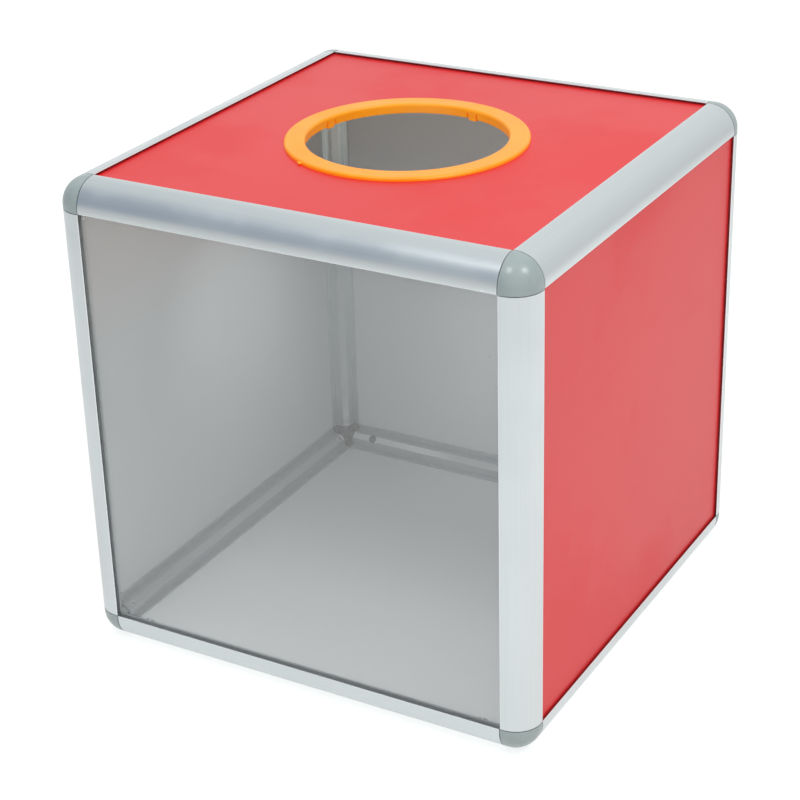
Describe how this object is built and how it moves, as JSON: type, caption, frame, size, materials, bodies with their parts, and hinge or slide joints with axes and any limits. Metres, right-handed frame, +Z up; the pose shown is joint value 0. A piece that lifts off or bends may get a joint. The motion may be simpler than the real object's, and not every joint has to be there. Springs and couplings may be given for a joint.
{
  "type": "raffle box",
  "caption": "Cube raffle box with aluminium edge rails, ball corners, red panels, a clear front sheet and a ringed hand hole in the top",
  "frame": {"origin": "centre of the base, on the plane the box stands on", "axes": "+Z up through the hand hole, -Y out of the clear front sheet, +X to the right seen from the front"},
  "size_m": [0.3, 0.3, 0.3004],
  "materials": {
    "rail_aluminium": "satin anodised",
    "corner_plastic": "smooth moulded",
    "red_sheet": "satin red outside, light grey inside",
    "clear_sheet": "clear polished",
    "ring_plastic": "smooth moulded",
    "screw_steel": "zinc plated"
  },
  "bodies": {
    "box": {"back_left_post": "rail_aluminium", "back_panel": "red_sheet", "back_right_post": "rail_aluminium", "bottom_back_left_corner": "corner_plastic", "bottom_back_rail": "rail_aluminium", "bottom_back_right_corner": "corner_plastic", "bottom_corner_screws": "screw_steel", "bottom_front_left_corner": "corner_plastic", "bottom_front_rail": "rail_aluminium", "bottom_front_right_corner": "corner_plastic", "bottom_left_rail": "rail_aluminium", "bottom_panel": "red_sheet", "bottom_right_rail": "rail_aluminium", "front_left_post": "rail_aluminium", "front_right_post": "rail_aluminium", "front_window": "clear_sheet", "left_panel": "red_sheet", "right_panel": "red_sheet", "top_back_left_corner": "corner_plastic", "top_back_rail": "rail_aluminium", "top_back_right_corner": "corner_plastic", "top_corner_screws": "screw_steel", "top_front_left_corner": "corner_plastic", "top_front_rail": "rail_aluminium", "top_front_right_corner": "corner_plastic", "top_left_rail": "rail_aluminium", "top_panel": "red_sheet", "top_right_rail": "rail_aluminium"},
    "ring": {"hand_hole_ring": "ring_plastic"}
  },
  "joints": [
    {"name": "ring_turn", "type": "hinge", "parent": "box", "child": "ring", "pos_m": [-0.0035, 0.001, 0.2982], "axis": [0, 0, 1], "continuous": true}
  ]
}
